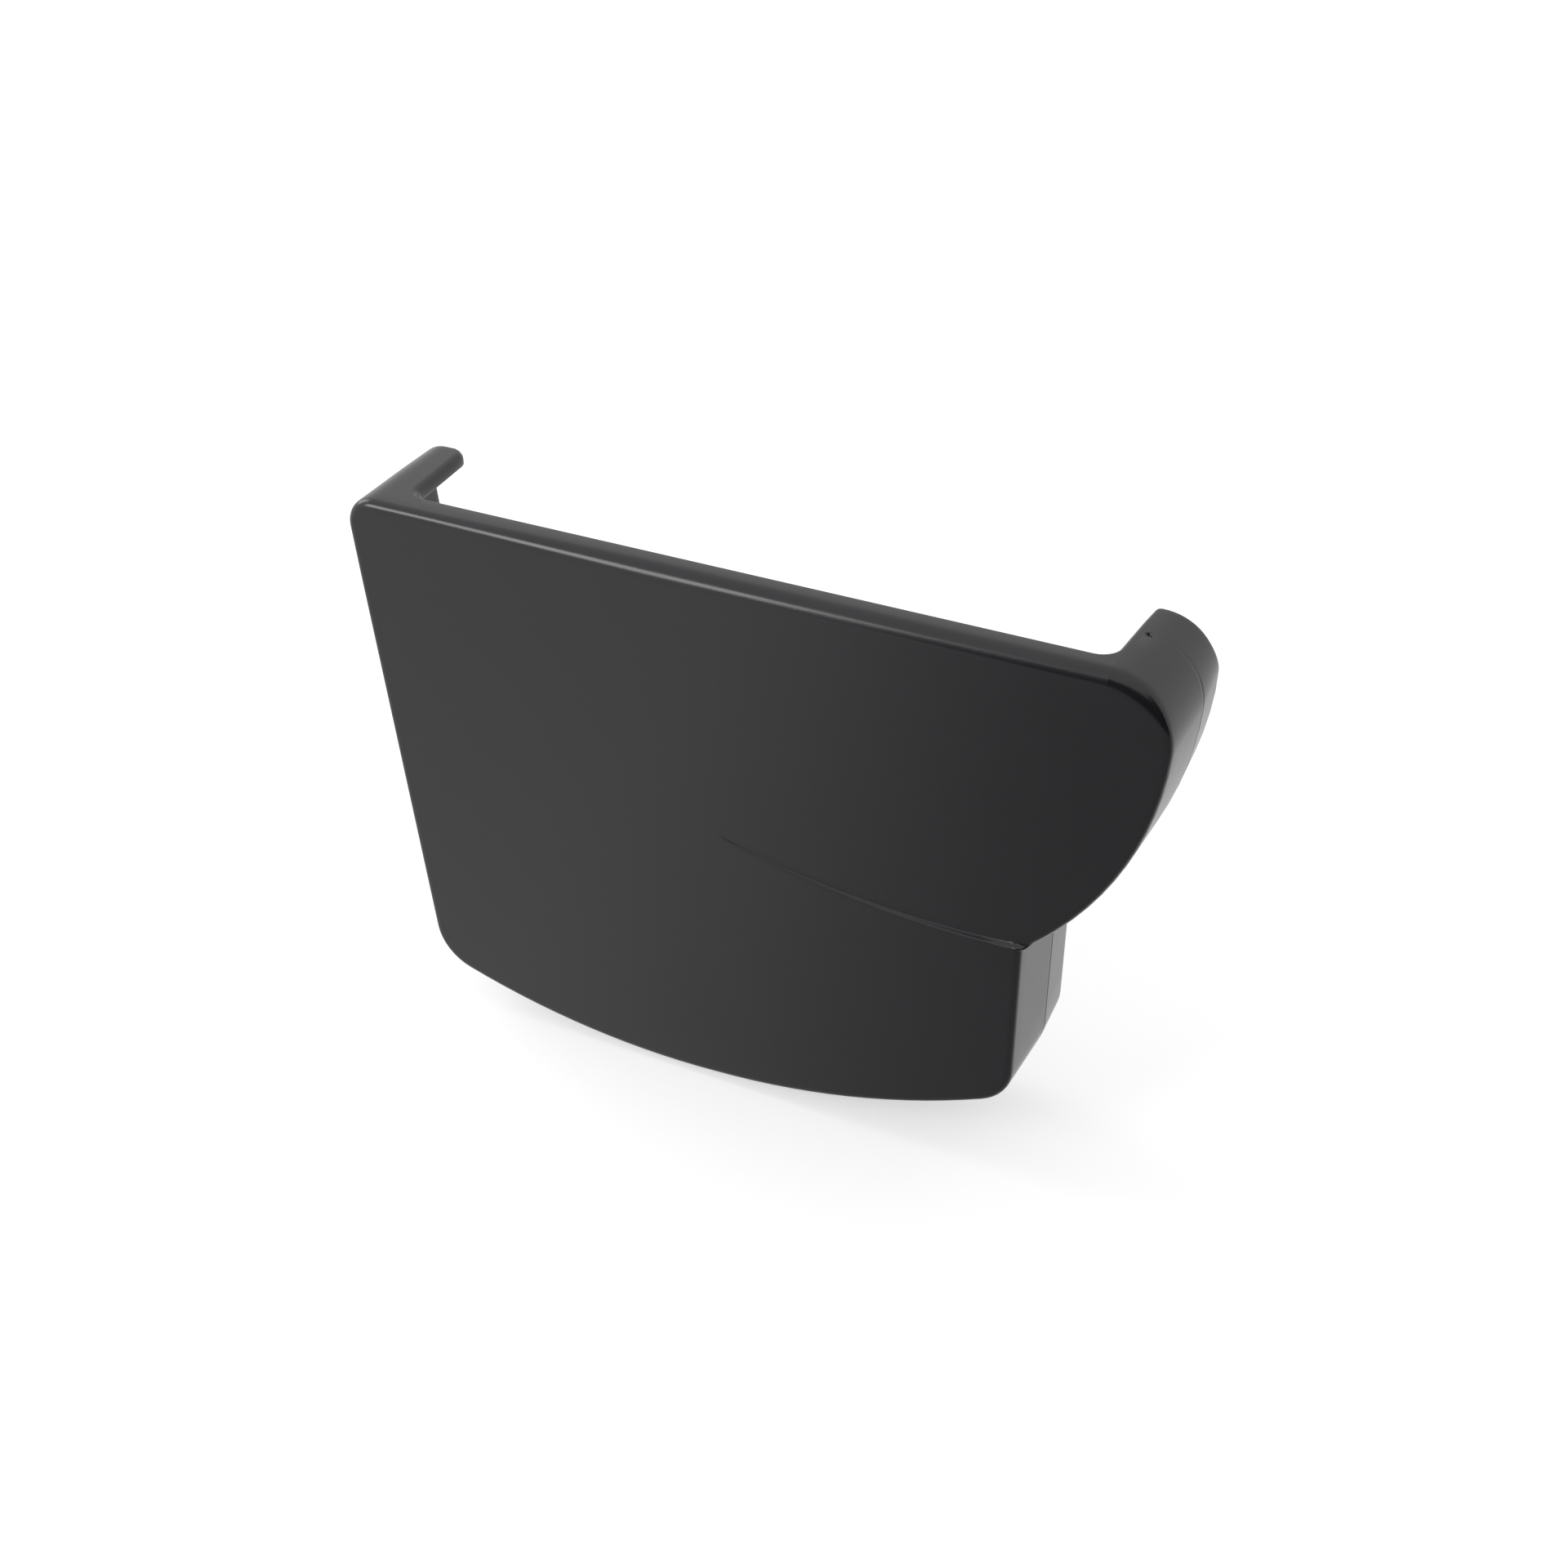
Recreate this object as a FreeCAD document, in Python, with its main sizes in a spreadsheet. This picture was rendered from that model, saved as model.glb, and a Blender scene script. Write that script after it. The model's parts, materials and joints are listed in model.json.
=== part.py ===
import FreeCAD, Part
import math
import os
import Sketcher
from FreeCAD import Vector

# Gutter end cap, moulded in one piece.
# x runs from the fascia to the front of the gutter, z up from the level of the gutter's rim,
# and y along the gutter. At y = 0 the gutter's cut end stops against the inside of the plate,
# so the outer face lies at y = -plate_thickness and the mouth of the skirt at positive y.
# Depths are measured from the outer face, towards the mouth.
# Lengths are in millimetres and angles in degrees.
SIZES = [
    ("overall_height", 115.4, "rim level to the lowest point of the bottom"),
    ("cap_depth", 26.6, "outer face to the mouth"),
    ("parting_depth", 15.5, "outer face to the parting line of the mould"),
    ("plate_thickness", 3.0, "closed end plate"),
    ("root_wall", 2.5, "skirt wall where it leaves the plate"),
    ("root_bevel", 0.8, "inside corner of skirt and plate"),
    ("mouth_wall", 2.2, "skirt wall at the mouth"),
    ("top_wall", 2.5, "wall of the rim and of the two hooks"),
    ("front_draft", 3.0, "skirt narrows from the parting line to the face"),
    ("rear_draft", 2.0, "skirt narrows from the parting line to the mouth"),
    ("back_lean", 5.8, "back wall leans in towards the bottom"),
    ("front_wall_x", 139.3, "fascia line to the straight front wall"),
    ("bulge_reach", 22.3, "how far the bulge's circle stands out from the front wall"),
    ("bulge_radius", 69.2, "round front moulding"),
    ("bulge_drop", 10.0, "rim level to the centre of the bulge"),
    ("bottom_radius", 151.6, "curved bottom"),
    ("bottom_low_x", 65.1, "fascia line to the lowest point of the bottom"),
    ("back_top_round", 6.2, "corner of back wall and rim"),
    ("back_low_round", 11.5, "corner of back wall and bottom"),
    ("front_low_round", 10.6, "corner of bottom and front wall"),
    ("front_top_round", 11.8, "corner of bulge and rim, at the parting line"),
    ("front_top_taper", 3.0, "how much tighter that corner is at the mouth than at the face"),
    ("rim_depth", 5.8, "outer face to the free edge of the rim"),
    ("back_hook_root", 12.8, "fascia line to the edge of the back hook, at the rim"),
    ("back_hook_tip", 11.7, "fascia line to the edge of the back hook, at the mouth"),
    ("front_hook_root", 13.7, "width of the front hook, at the rim"),
    ("front_hook_tip", 12.0, "width of the front hook, at the mouth"),
    ("hook_blend", 3.2, "inside corner of hook and rim"),
    ("hook_tip_round", 1.2, "free corner of each hook"),
    ("face_round", 2.1, "edge of the outer face"),
    ("lip_round", 0.8, "outer edge of the mouth, the hooks and the rim"),
    ("facet_rise", 1.1, "how far the low part of the face stands out at the front wall"),
    ("facet_start_x", 72.8, "where the low part of the face starts to stand out"),
    ("crease_start_x", 58.8, "free end of the crease, buried in the flat face"),
    ("crease_lift", 12.0, "rise of the crease from the front wall to its free end"),
    ("crease_radius", 177.0, "sweep of the crease"),
]
# Room left around the part by cuts that run past it.
CLEARANCE = "20"
# Foremost point of the bulge's circle.
FRONT_X = "(sizes.front_wall_x + sizes.bulge_reach)"
# Depths are measured from the outer face. The outline of the skirt at a depth is smaller
# than at the parting line by these amounts, in front of the line and behind it.
FRONT_INSET = "(tan(sizes.front_draft * 1 deg) * (sizes.parting_depth - ({0})))"
REAR_INSET = "(tan(sizes.rear_draft * 1 deg) * (({0}) - sizes.parting_depth))"
# The corner of bulge and rim is rounder than at the parting line by this amount, in front of it.
CORNER_GAIN = "(sizes.front_top_taper * (sizes.parting_depth - ({0})) / sizes.cap_depth)"
# The skirt is first drawn out past the face, by more than the low part of the face stands out.
OVERSHOOT = "-2 * sizes.facet_rise"
RIM_Y = "sizes.rim_depth - sizes.plate_thickness"
MOUTH_Y = "sizes.cap_depth - sizes.plate_thickness"
NODE = "end_cap"


def make_sheet(doc):
    sheet = doc.addObject("Spreadsheet::Sheet", "sizes")
    for row, (name, value, note) in enumerate(SIZES, 1):
        sheet.set(f"A{row}", name)
        sheet.set(f"B{row}", str(value))
        sheet.set(f"C{row}", note)
        sheet.setAlias(f"B{row}", name)
    doc.recompute()
    return sheet


def value_of(sheet, expression):
    """Value of an expression written with the sheet's names, as a plain number."""
    result = sheet.evalExpression(expression.replace("sizes.", ""))
    return float(getattr(result, "Value", result))


def new_sketch(body, name, role):
    sketch = body.newObject("Sketcher::SketchObject", name)
    plane = next(item for item in body.Origin.OriginFeatures if item.Role == role)
    sketch.AttachmentSupport = (plane, "")
    sketch.MapMode = "FlatFace"
    return sketch


def drive(sketch, expression, kind, *arguments):
    """Adds a dimension that follows an expression."""
    index = sketch.addConstraint(Sketcher.Constraint(kind, *arguments))
    sketch.setExpression(f"Constraints[{index}]", expression)


def direction(first, second):
    return math.atan2(second.y - first.y, second.x - first.x) % (2 * math.pi)


def on_circle(centre, radius, angle):
    return centre + Vector(math.cos(angle), math.sin(angle), 0) * radius


def arc(centre, radius, start, end):
    return Part.ArcOfCircle(Part.Circle(centre, Vector(0, 0, 1), radius), start, end)


def outline_sketch(sheet, body, name, depth, inset, top="0"):
    """Section of the cap: back wall, curved bottom, front wall, bulge and top, with round corners.

    depth, inset and top are expressions: distance from the outer face, distance inside the
    outline at the parting line, and distance of the section's top below the rim level."""
    sketch = new_sketch(body, name, "XZ_Plane")
    sketch.setExpression("AttachmentOffset.Base.z", f"(sizes.plate_thickness - ({depth})) * 1 mm")
    size = {key: value_of(sheet, key) for key, value, note in SIZES}
    inward, down = value_of(sheet, inset), value_of(sheet, top)
    lean = math.radians(size["back_lean"])
    along_wall = Vector(math.sin(lean), -math.cos(lean), 0)
    into_cap = Vector(math.cos(lean), math.sin(lean), 0)

    back_top, back_low = size["back_top_round"] - inward, size["back_low_round"] - inward
    front_low = size["front_low_round"] - inward
    front_top_radius = f"sizes.front_top_round + {CORNER_GAIN.format(depth)} - ({inset})"
    front_top = value_of(sheet, front_top_radius)
    bulge, bottom = size["bulge_radius"] - inward, size["bottom_radius"] - inward
    front_wall = size["front_wall_x"] - inward

    bulge_centre = Vector(value_of(sheet, FRONT_X) - size["bulge_radius"], -size["bulge_drop"], 0)
    bottom_centre = Vector(size["bottom_low_x"], size["bottom_radius"] - size["overall_height"], 0)
    run = (down + back_top + (inward + back_top) * into_cap.y) / math.cos(lean)
    back_top_centre = into_cap * (inward + back_top) + along_wall * run
    offset = bottom_centre - into_cap * (inward + back_low)
    run = offset.dot(along_wall)
    run += math.sqrt((bottom - back_low) ** 2 - offset.dot(offset) + run ** 2)
    back_low_centre = into_cap * (inward + back_low) + along_wall * run
    reach = front_wall - front_low - bottom_centre.x
    drop = math.sqrt((bottom - front_low) ** 2 - reach ** 2)
    front_low_centre = Vector(front_wall - front_low, bottom_centre.y - drop, 0)
    rise = -down - front_top - bulge_centre.y
    reach = math.sqrt((bulge - front_top) ** 2 - rise ** 2)
    front_top_centre = Vector(bulge_centre.x + reach, -down - front_top, 0)
    drop = math.sqrt(bulge ** 2 - (front_wall - bulge_centre.x) ** 2)
    step = Vector(front_wall, bulge_centre.y - drop, 0)

    wall_angle = math.pi + lean
    back_end = direction(bottom_centre, back_low_centre)
    front_end = direction(bottom_centre, front_low_centre)
    step_angle = direction(bulge_centre, step) - 2 * math.pi
    bulge_end = direction(bulge_centre, front_top_centre)
    if bulge_end > math.pi:
        bulge_end -= 2 * math.pi
    upright = math.pi / 2
    sketch.addGeometry([
        Part.LineSegment(on_circle(back_top_centre, back_top, wall_angle),
                         on_circle(back_low_centre, back_low, wall_angle)),
        arc(back_low_centre, back_low, wall_angle, back_end),
        arc(bottom_centre, bottom, back_end, front_end),
        arc(front_low_centre, front_low, front_end, 2 * math.pi),
        Part.LineSegment(on_circle(front_low_centre, front_low, 0), step),
        arc(bulge_centre, bulge, step_angle, bulge_end),
        arc(front_top_centre, front_top, bulge_end, upright),
        Part.LineSegment(on_circle(front_top_centre, front_top, upright),
                         on_circle(back_top_centre, back_top, upright)),
        arc(back_top_centre, back_top, upright, wall_angle),
    ], False)
    wall_line, low_back, belly, low_front, front_line = range(5)
    round_front, high_front, top_line, high_back = range(5, 9)
    start, end, centre, origin = 1, 2, 3, (-1, 1)
    chain = [wall_line, low_back, belly, low_front, front_line]
    for first, second in zip(chain, chain[1:]):
        sketch.addConstraint(Sketcher.Constraint("Tangent", first, end, second, start))
    sketch.addConstraint(Sketcher.Constraint("Coincident", front_line, end, round_front, start))
    chain = [round_front, high_front, top_line, high_back, wall_line]
    for first, second in zip(chain, chain[1:]):
        sketch.addConstraint(Sketcher.Constraint("Tangent", first, end, second, start))
    sketch.addConstraint(Sketcher.Constraint("Vertical", front_line))
    sketch.addConstraint(Sketcher.Constraint("Horizontal", top_line))

    rounds = {
        low_back: ("back_low_round", back_low),
        belly: ("bottom_radius", bottom),
        low_front: ("front_low_round", front_low),
        round_front: ("bulge_radius", bulge),
        high_back: ("back_top_round", back_top),
    }
    for index, (key, radius) in rounds.items():
        drive(sketch, f"sizes.{key} - ({inset})", "Radius", index, radius)
    drive(sketch, front_top_radius, "Radius", high_front, front_top)
    drive(sketch, f"{FRONT_X} - sizes.bulge_radius",
          "DistanceX", *origin, round_front, centre, bulge_centre.x)
    drive(sketch, "sizes.bulge_drop", "DistanceY", round_front, centre, *origin, size["bulge_drop"])
    drive(sketch, "sizes.bottom_low_x", "DistanceX", *origin, belly, centre, bottom_centre.x)
    drive(sketch, "sizes.bottom_radius - sizes.overall_height",
          "DistanceY", *origin, belly, centre, bottom_centre.y)
    drive(sketch, f"sizes.front_wall_x - ({inset})",
          "DistanceX", *origin, front_line, start, front_wall)
    drive(sketch, "(sizes.back_lean - 90) * 1 deg", "Angle", wall_line, lean - upright)
    from_wall = ("sizes.bottom_low_x * cos(sizes.back_lean * 1 deg)"
                 " + (sizes.bottom_radius - sizes.overall_height) * sin(sizes.back_lean * 1 deg)"
                 f" - ({inset})")
    drive(sketch, from_wall, "Distance", belly, centre, wall_line, bottom_centre.dot(into_cap) - inward)
    drive(sketch, f"sizes.bulge_drop - ({top})",
          "DistanceY", round_front, centre, top_line, start, size["bulge_drop"] - down)
    return sketch


def hold_point(sketch, geometry, end, across, along, point):
    """Two dimensions from the origin to a point, each following an expression."""
    for kind, expression, value in (("DistanceX", across, point.x), ("DistanceY", along, point.y)):
        if value > 0:
            drive(sketch, expression, kind, -1, 1, geometry, end, value)
        else:
            drive(sketch, f"-({expression})", kind, geometry, end, -1, 1, -value)


def polygon(sketch, sheet, corners):
    """Closed outline of straight lines through corners given as pairs of expressions."""
    points = [Vector(value_of(sheet, across), value_of(sheet, along), 0) for across, along in corners]
    ends = points[1:] + points[:1]
    sketch.addGeometry([Part.LineSegment(*pair) for pair in zip(points, ends)], False)
    for index, (across, along) in enumerate(corners):
        after = (index + 1) % len(corners)
        sketch.addConstraint(Sketcher.Constraint("Coincident", index, 2, after, 1))
        hold_point(sketch, index, 1, across, along, points[index])


def loft(body, kind, name, first, *others):
    feature = body.newObject(f"PartDesign::{kind}", name)
    feature.Profile = first
    feature.Sections = list(others)
    feature.Ruled = True
    body.Document.recompute()


def pocket(body, name, sketch, length):
    feature = body.newObject("PartDesign::Pocket", name)
    feature.Profile = sketch
    feature.Type = "Length"
    feature.setExpression("Length", f"({length}) * 1 mm")
    body.Document.recompute()


def through_pocket(body, name, sketch):
    feature = body.newObject("PartDesign::Pocket", name)
    feature.Profile = sketch
    feature.Type = "ThroughAll"
    feature.SideType = "Symmetric"
    body.Document.recompute()
    return feature


def fillet(body, name, size, edges):
    before = body.Tip
    names = [f"Edge{index}" for index, edge in enumerate(before.Shape.Edges, 1)
             if any(edge.isSame(other) for other in edges)]
    feature = body.newObject("PartDesign::Fillet", name)
    feature.Base = (before, names)
    feature.setExpression("Radius", f"sizes.{size} * 1 mm")
    body.Document.recompute()


def front_block(sheet, body, prefix):
    """Solid block from in front of the face to the parting line."""
    inset = FRONT_INSET.format(OVERSHOOT)
    face = outline_sketch(sheet, body, f"{prefix}_face_outline", OVERSHOOT, inset)
    parting = outline_sketch(sheet, body, f"{prefix}_parting_outline", "sizes.parting_depth", "0")
    loft(body, "AdditiveLoft", f"{prefix}_front_block", face, parting)


def cut_face(sheet, body, name, plane_y):
    """Cuts the front back to an upright plane, given as an expression with {0} for x."""
    sketch = new_sketch(body, f"{name}_sketch", "XY_Plane")
    left, right = f"-{CLEARANCE}", f"({FRONT_X} + {CLEARANCE})"
    out = f"-sizes.plate_thickness - {CLEARANCE}"
    polygon(sketch, sheet, [(left, plane_y.format(left)), (left, out),
                            (right, out), (right, plane_y.format(right))])
    through_pocket(body, name, sketch)


def front_edges(body):
    """Edges of the foremost face."""
    return min(body.Tip.Shape.Faces, key=lambda face: face.CenterOfMass.y).Edges


def lies_at(edge, y):
    box = edge.BoundBox
    return abs(box.YMin - y) < 0.01 and abs(box.YMax - y) < 0.01


def upright_edges(sheet, body, y):
    """Edges through the top wall where a cut between the hooks has a corner."""
    wall = value_of(sheet, "sizes.top_wall")
    return [edge for edge in body.Tip.Shape.Edges
            if lies_at(edge, y) and edge.BoundBox.XLength < 0.01
            and abs(edge.BoundBox.ZLength - wall) < wall / 10]


def crease_sketch(sheet, body):
    """Region above the crease, drawn half way up the ledge.

    The crease is an arc from the step in the front wall to its free end."""
    sketch = new_sketch(body, "crease_sketch", "XZ_Plane")
    sketch.setExpression("AttachmentOffset.Base.z", "(sizes.plate_thickness + sizes.facet_rise / 2) * 1 mm")
    inset = FRONT_INSET.format("0")
    wall_x = f"sizes.front_wall_x - {inset}"
    step_z = (f"-sizes.bulge_drop - sqrt(pow(sizes.bulge_radius - {inset}; 2)"
              f" - pow(sizes.bulge_radius - sizes.bulge_reach - {inset}; 2))")
    wall_z = f"{step_z} + sizes.facet_rise / 2"
    free_z = f"{wall_z} + sizes.crease_lift"
    right, left = f"{FRONT_X} + {CLEARANCE}", f"-{CLEARANCE}"
    corners = [(wall_x, wall_z), (right, wall_z), (right, CLEARANCE),
               (left, CLEARANCE), (left, free_z), ("sizes.crease_start_x", free_z)]
    points = [Vector(value_of(sheet, across), value_of(sheet, along), 0) for across, along in corners]
    wall_end, free_end = points[0], points[-1]
    chord = wall_end - free_end
    radius = value_of(sheet, "sizes.crease_radius")
    square = Vector(-chord.y, chord.x, 0).normalize()
    centre = (wall_end + free_end) * 0.5 + square * math.sqrt(radius ** 2 - chord.Length ** 2 / 4)
    sweep = direction(centre, free_end), direction(centre, wall_end)
    sketch.addGeometry([Part.LineSegment(*pair) for pair in zip(points, points[1:])], False)
    sketch.addGeometry([arc(centre, radius, *sweep)], False)
    crease = len(points) - 1
    for index in range(crease):
        hold_point(sketch, index, 1, *corners[index], points[index])
        sketch.addConstraint(Sketcher.Constraint("Coincident", index, 2, index + 1, 1))
    hold_point(sketch, crease, 1, *corners[-1], free_end)
    sketch.addConstraint(Sketcher.Constraint("Coincident", crease, 2, 0, 1))
    drive(sketch, "sizes.crease_radius", "Radius", crease, radius)
    return sketch


def make_low_face(sheet, doc):
    """Low part of the face, which stands out more and more towards the front wall."""
    body = doc.addObject("PartDesign::Body", "low_face")
    front_block(sheet, body, "low")
    plane_y = ("-sizes.plate_thickness - sizes.facet_rise * ({0} - sizes.facet_start_x)"
               " / (sizes.front_wall_x - sizes.facet_start_x)")
    cut_face(sheet, body, "slope", plane_y)
    fillet(body, "low_face_edge", "face_round", front_edges(body))
    crease = through_pocket(body, "crease", crease_sketch(sheet, body))
    # Swept up as well as back, so that the crease becomes a ledge with a slope of one in one.
    crease.UseCustomVector = True
    crease.Direction = Vector(0, 1, 1)
    doc.recompute()
    buried = new_sketch(body, "buried_side", "XZ_Plane")
    buried.setExpression("AttachmentOffset.Base.z", "sizes.plate_thickness / 4 * 1 mm")
    left, right = f"-{CLEARANCE}", f"{FRONT_X} + {CLEARANCE}"
    low, high = f"-sizes.overall_height - {CLEARANCE}", CLEARANCE
    polygon(buried, sheet, [(left, low), (right, low), (right, high), (left, high)])
    pocket(body, "buried_cut", buried, "sizes.cap_depth")
    return body


def make_skirt(sheet, body):
    """Plate and skirt, hollow from the mouth, with the inside bevelled where they meet."""
    front_block(sheet, body, "skirt")
    inset = REAR_INSET.format("sizes.cap_depth")
    parting = outline_sketch(sheet, body, "rear_parting_outline", "sizes.parting_depth", "0")
    mouth = outline_sketch(sheet, body, "mouth_outline", "sizes.cap_depth", inset)
    loft(body, "AdditiveLoft", "rear_block", parting, mouth)
    seat_depth = "sizes.plate_thickness + sizes.root_bevel"
    seat_inset = f"sizes.root_wall + {FRONT_INSET.format(seat_depth)}"
    floor = outline_sketch(sheet, body, "floor_outline", "sizes.plate_thickness",
                           f"{seat_inset} + sizes.root_bevel", "sizes.top_wall + sizes.root_bevel")
    seat = outline_sketch(sheet, body, "seat_outline", seat_depth, seat_inset, "sizes.top_wall")
    opening = outline_sketch(sheet, body, "opening_outline", "sizes.cap_depth",
                             f"sizes.mouth_wall + {inset}", "sizes.top_wall")
    loft(body, "SubtractiveLoft", "inside", floor, seat, opening)
    cut_face(sheet, body, "face", "-sizes.plate_thickness")
    fillet(body, "face_edge", "face_round", front_edges(body))


def make_hooks(sheet, body):
    """Opens the top of the skirt between the two hooks, which leaves the rim, and rounds what is left."""
    between = new_sketch(body, "between_hooks", "XY_Plane")
    between.setExpression("AttachmentOffset.Base.z", f"{CLEARANCE} * 1 mm")
    past_mouth = f"{MOUTH_Y} + {CLEARANCE}"
    front_root, front_tip = f"{FRONT_X} - sizes.front_hook_root", f"{FRONT_X} - sizes.front_hook_tip"
    polygon(between, sheet, [("sizes.back_hook_root", RIM_Y), (front_root, RIM_Y), (front_tip, MOUTH_Y),
                             (front_tip, past_mouth), ("sizes.back_hook_tip", past_mouth),
                             ("sizes.back_hook_tip", MOUTH_Y)])
    pocket(body, "mouth", between, f"{CLEARANCE} + sizes.top_wall + 1")
    rim_y, mouth_y = value_of(sheet, RIM_Y), value_of(sheet, MOUTH_Y)
    fillet(body, "hook_roots", "hook_blend", upright_edges(sheet, body, rim_y))
    fillet(body, "hook_tips", "hook_tip_round", upright_edges(sheet, body, mouth_y))
    # The rim's upper edge runs on smoothly along the hooks and round the mouth.
    rim = [edge for edge in body.Tip.Shape.Edges if lies_at(edge, rim_y) and edge.BoundBox.ZMin > -0.01]
    fillet(body, "lip", "lip_round", rim)


def check(doc):
    for item in doc.Objects:
        broken = "Invalid" in item.State or "Error" in item.State
        if item.isDerivedFrom("Part::Feature"):
            broken = broken or item.Shape.isNull() or not item.Shape.isValid()
        if item.isDerivedFrom("Sketcher::SketchObject"):
            broken = broken or not item.FullyConstrained
        if broken:
            raise RuntimeError(f"{item.Name} did not come out whole: {item.State}")


doc = FreeCAD.newDocument("gutter_end_cap")
sheet = make_sheet(doc)
low_face = make_low_face(sheet, doc)
cap = doc.addObject("PartDesign::Body", "cap")
cap.Label = NODE
make_skirt(sheet, cap)
make_hooks(sheet, cap)
join = cap.newObject("PartDesign::Boolean", "join")
join.Type = "Fuse"
join.setObjects([low_face])
doc.recompute()
check(doc)
if len(cap.Shape.Solids) != 1:
    raise RuntimeError("the end cap must be one solid")
box = cap.Shape.optimalBoundingBox()
print(f"{NODE}: {box.XLength:.2f} x {box.YLength:.2f} x {box.ZLength:.2f} mm, {cap.Shape.Volume:.0f} mm3")
os.makedirs("parts", exist_ok=True)
cap.Shape.exportStep(f"parts/{NODE}.step")
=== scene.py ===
# %% [markdown]
# Gutter end cap in anthracite PVC.
# The real object closes the end of a rain gutter. It is one injection moulding: a flat plate, a
# skirt that slips over the gutter, and two hooks at the top that hold its back edge and its
# rounded front. A scene can start from nothing, but then its sizes drift away from the drawing.
# Here the measured solid is loaded first, so that the piece lies where the solid lies, in metres.

# %% Load the measured part
import json
import math
from collections import namedtuple

import bmesh
import bpy
from mathutils import Vector
from mathutils.geometry import delaunay_2d_cdt
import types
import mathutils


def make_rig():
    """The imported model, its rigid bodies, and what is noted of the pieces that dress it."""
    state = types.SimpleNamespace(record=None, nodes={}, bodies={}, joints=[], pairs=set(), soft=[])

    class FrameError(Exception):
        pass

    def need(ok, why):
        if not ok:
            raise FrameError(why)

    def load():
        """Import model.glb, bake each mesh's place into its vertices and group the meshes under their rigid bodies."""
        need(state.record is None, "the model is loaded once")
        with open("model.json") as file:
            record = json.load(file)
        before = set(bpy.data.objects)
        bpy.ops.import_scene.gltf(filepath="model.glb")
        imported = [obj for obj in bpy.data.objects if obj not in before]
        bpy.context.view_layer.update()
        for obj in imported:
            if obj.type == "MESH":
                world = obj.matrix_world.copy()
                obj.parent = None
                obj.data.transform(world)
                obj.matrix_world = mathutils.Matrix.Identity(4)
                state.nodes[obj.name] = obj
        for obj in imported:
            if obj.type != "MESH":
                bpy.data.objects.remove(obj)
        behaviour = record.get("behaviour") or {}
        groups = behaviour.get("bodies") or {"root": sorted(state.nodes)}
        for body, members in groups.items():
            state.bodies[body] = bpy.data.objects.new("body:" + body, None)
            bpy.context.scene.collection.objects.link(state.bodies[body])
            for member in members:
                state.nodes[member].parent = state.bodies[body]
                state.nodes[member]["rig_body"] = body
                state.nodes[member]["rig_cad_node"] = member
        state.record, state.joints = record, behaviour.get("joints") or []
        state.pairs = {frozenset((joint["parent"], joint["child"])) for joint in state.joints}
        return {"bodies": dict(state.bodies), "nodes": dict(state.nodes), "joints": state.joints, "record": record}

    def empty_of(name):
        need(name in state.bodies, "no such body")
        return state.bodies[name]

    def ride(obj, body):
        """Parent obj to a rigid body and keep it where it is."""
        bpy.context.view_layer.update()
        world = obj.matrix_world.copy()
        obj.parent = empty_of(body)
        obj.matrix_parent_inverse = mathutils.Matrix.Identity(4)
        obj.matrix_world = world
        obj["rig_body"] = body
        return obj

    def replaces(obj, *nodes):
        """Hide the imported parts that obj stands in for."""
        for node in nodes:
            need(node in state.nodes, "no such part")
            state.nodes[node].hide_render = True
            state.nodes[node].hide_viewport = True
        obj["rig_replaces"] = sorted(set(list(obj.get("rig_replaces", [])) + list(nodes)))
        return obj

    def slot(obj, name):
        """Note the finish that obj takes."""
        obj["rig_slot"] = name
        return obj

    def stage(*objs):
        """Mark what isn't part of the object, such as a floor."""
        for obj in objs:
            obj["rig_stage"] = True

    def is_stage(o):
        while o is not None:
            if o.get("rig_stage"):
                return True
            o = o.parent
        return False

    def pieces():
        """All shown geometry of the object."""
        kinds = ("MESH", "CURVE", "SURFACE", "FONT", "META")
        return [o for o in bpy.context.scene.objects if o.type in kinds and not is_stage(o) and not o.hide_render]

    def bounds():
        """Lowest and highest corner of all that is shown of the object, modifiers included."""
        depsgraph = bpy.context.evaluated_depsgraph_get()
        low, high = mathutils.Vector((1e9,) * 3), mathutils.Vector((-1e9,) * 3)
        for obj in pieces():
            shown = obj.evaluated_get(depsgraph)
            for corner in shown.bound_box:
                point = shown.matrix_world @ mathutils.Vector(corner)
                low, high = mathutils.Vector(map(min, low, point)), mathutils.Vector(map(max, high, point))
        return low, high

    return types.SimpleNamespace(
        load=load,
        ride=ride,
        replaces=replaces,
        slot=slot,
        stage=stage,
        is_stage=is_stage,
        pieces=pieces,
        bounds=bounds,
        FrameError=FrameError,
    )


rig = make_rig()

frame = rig.load()
cad_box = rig.bounds()
MM = 0.001
print("bodies", list(frame["bodies"]), "nodes", list(frame["nodes"]), "box", cad_box)

# %% [markdown]
# The photograph was taken with a slightly long lens from above the front corner, on the side of
# the rounded front. A camera can be aimed at the object by a constraint, but its place was found
# from the straight edges of the plate. So it is given directly: where it stands, how far it is
# turned to the side and how far it looks down.

# %% Camera
CAMERA_PLACE = Vector((224.9, -286.9, 177.6)) * MM
CAMERA_TURN = math.radians(25.18)
CAMERA_TILT = math.radians(34.53)
LENS = 48.49

camera_data = bpy.data.cameras.new("photo_camera")
camera_data.lens = LENS
camera_data.sensor_width = 36.0
camera_data.clip_start = 0.01
camera = bpy.data.objects.new("photo_camera", camera_data)
camera.location = CAMERA_PLACE
camera.rotation_euler = (math.pi / 2 - CAMERA_TILT, 0.0, CAMERA_TURN)
bpy.context.scene.collection.objects.link(camera)
bpy.context.scene.camera = camera
print("camera", [round(v, 4) for v in camera.location], "lens", LENS)

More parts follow.
